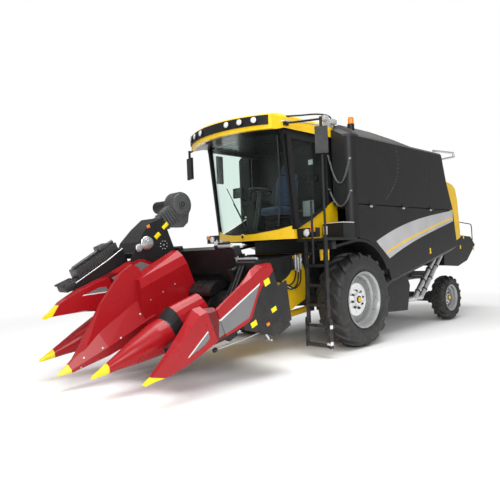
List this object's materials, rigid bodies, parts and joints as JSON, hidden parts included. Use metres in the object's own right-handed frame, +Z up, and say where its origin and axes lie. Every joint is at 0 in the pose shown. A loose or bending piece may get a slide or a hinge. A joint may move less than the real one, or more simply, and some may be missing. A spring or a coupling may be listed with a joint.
{
  "type": "plot combine",
  "caption": "Self-propelled plot combine with cab, straw hood and a folding row-crop maize header whose right wing lies folded over.",
  "frame": {"origin": "middle of the machine's outline on the ground", "axes": "-Y to the front, +X to the machine's left, +Z up"},
  "size_m": [3.1983, 9.8878, 3.86],
  "materials": {
    "chassis_paint": "satin black paint",
    "body_black": "gloss black paint",
    "engine_iron": "cast iron",
    "yellow_paint": "gloss yellow paint",
    "tube_steel": "plain steel tube",
    "cab_black": "satin black paint",
    "window_glass": "tinted glass",
    "lamp_black": "black plastic",
    "seat_fabric": "woven cover",
    "cab_plastic": "grained plastic",
    "tyre_rubber": "rubber",
    "rim_paint": "silver paint",
    "header_black": "satin black paint",
    "snout_red": "gloss red plastic",
    "gearbox_cast": "cast aluminium"
  },
  "bodies": {
    "chassis": {"chassis_rails": "chassis_paint", "separator_body": "body_black", "engine_block": "engine_iron", "front_axle": "chassis_paint", "rear_axle": "chassis_paint", "body_deck": "body_black", "upper_sides": "body_black", "roof_cover": "body_black", "rear_hood": "yellow_paint", "chaff_box": "body_black", "side_tubes": "tube_steel", "wheel_guards": "body_black", "cab_frame": "cab_black", "cab_skirt": "yellow_paint", "cab_glass": "window_glass", "cab_roof": "yellow_paint", "lamps": "lamp_black", "operator_seat": "seat_fabric", "steering_console": "cab_plastic", "platform": "chassis_paint", "mirrors": "body_black"},
    "front_left_wheel": {"front_left_tyre": "tyre_rubber", "front_left_rim": "rim_paint"},
    "front_right_wheel": {"front_right_tyre": "tyre_rubber", "front_right_rim": "rim_paint"},
    "left_knuckle": {"rear_left_knuckle": "chassis_paint"},
    "right_knuckle": {"rear_right_knuckle": "chassis_paint"},
    "rear_left_wheel": {"rear_left_tyre": "tyre_rubber", "rear_left_rim": "rim_paint"},
    "rear_right_wheel": {"rear_right_tyre": "tyre_rubber", "rear_right_rim": "rim_paint"},
    "feeder": {"feeder_house": "yellow_paint", "header_frame": "header_black", "centre_divider": "snout_red", "inner_snouts": "snout_red", "centre_rows": "header_black"},
    "header_auger": {"header_auger": "header_black"},
    "lift_barrels": {"lift_barrels": "yellow_paint"},
    "lift_rods": {"lift_rods": "tube_steel"},
    "left_wing": {"left_wing_frame": "header_black", "left_wing_divider": "snout_red"},
    "right_wing": {"right_wing_frame": "header_black", "right_wing_divider": "snout_red", "right_wing_gearbox": "gearbox_cast"},
    "cab_door": {"cab_door_frame": "cab_black", "cab_door_glass": "window_glass"},
    "left_lid": {"left_lid": "body_black"},
    "right_lid": {"right_lid": "body_black"},
    "ladder_lower": {"ladder_lower": "chassis_paint"}
  },
  "joints": [
    {"name": "front_left_spin", "type": "hinge", "parent": "chassis", "child": "front_left_wheel", "pos_m": [1.245, -0.45609, 0.77], "axis": [1, 0, 0], "continuous": true},
    {"name": "front_right_spin", "type": "hinge", "parent": "chassis", "child": "front_right_wheel", "pos_m": [-1.245, -0.45609, 0.77], "axis": [1, 0, 0], "continuous": true},
    {"name": "rear_left_steer", "type": "hinge", "parent": "chassis", "child": "left_knuckle", "pos_m": [0.87, 3.17392, 0.475], "axis": [0, 0, 1], "range_deg": [-35, 35]},
    {"name": "rear_right_steer", "type": "hinge", "parent": "chassis", "child": "right_knuckle", "pos_m": [-0.87, 3.17392, 0.475], "axis": [0, 0, 1], "range_deg": [-35, 35]},
    {"name": "rear_left_spin", "type": "hinge", "parent": "left_knuckle", "child": "rear_left_wheel", "pos_m": [1.11, 3.17392, 0.475], "axis": [1, 0, 0], "continuous": true},
    {"name": "rear_right_spin", "type": "hinge", "parent": "right_knuckle", "child": "rear_right_wheel", "pos_m": [-1.11, 3.17392, 0.475], "axis": [1, 0, 0], "continuous": true},
    {"name": "header_lift", "type": "hinge", "parent": "chassis", "child": "feeder", "pos_m": [0, -0.93608, 1.5], "axis": [-1, 0, 0], "range_deg": [-2.5, 12]},
    {"name": "lift_barrel_swing", "type": "hinge", "parent": "chassis", "child": "lift_barrels", "pos_m": [0, -0.64609, 0.6], "axis": [-1, 0, 0], "range_deg": [-3.02, 10.71]},
    {"name": "lift_rod_slide", "type": "slide", "parent": "lift_barrels", "child": "lift_rods", "axis": [0, -0.9958, -0.0912], "range_m": [-0.04156, 0.1919]},
    {"name": "left_wing_fold", "type": "hinge", "parent": "feeder", "child": "left_wing", "pos_m": [0.975, -2.81342, 1.38942], "axis": [0, -0.9272, -0.3746], "range_deg": [0, 180]},
    {"name": "right_wing_unfold", "type": "hinge", "parent": "feeder", "child": "right_wing", "pos_m": [-0.975, -2.81342, 1.38942], "axis": [0, -0.9272, -0.3746], "range_deg": [0, 180]},
    {"name": "auger_spin", "type": "hinge", "parent": "feeder", "child": "header_auger", "pos_m": [0, -2.80977, 0.87319], "axis": [1, 0, 0], "continuous": true},
    {"name": "cab_door_hinge", "type": "hinge", "parent": "chassis", "child": "cab_door", "pos_m": [0.945, -0.67609, 2.7], "axis": [0, 0, 1], "range_deg": [0, 80]},
    {"name": "left_lid_hinge", "type": "hinge", "parent": "chassis", "child": "left_lid", "pos_m": [1.392, 1.04391, 2.34], "axis": [0, -1, 0], "range_deg": [0, 75]},
    {"name": "right_lid_hinge", "type": "hinge", "parent": "chassis", "child": "right_lid", "pos_m": [-1.392, 1.04391, 2.34], "axis": [0, 1, 0], "range_deg": [0, 75]},
    {"name": "ladder_flip", "type": "hinge", "parent": "chassis", "child": "ladder_lower", "pos_m": [1.3, -1.51109, 0.56], "axis": [-1, 0, 0], "range_deg": [0, 160]}
  ],
  "couplings": [
    {"joint": "rear_right_steer", "follows": "rear_left_steer", "ratio": 1},
    {"joint": "lift_barrel_swing", "follows": "header_lift", "ratio": 0.80941},
    {"joint": "lift_rod_slide", "follows": "header_lift", "m_per_rad": 0.90669}
  ]
}
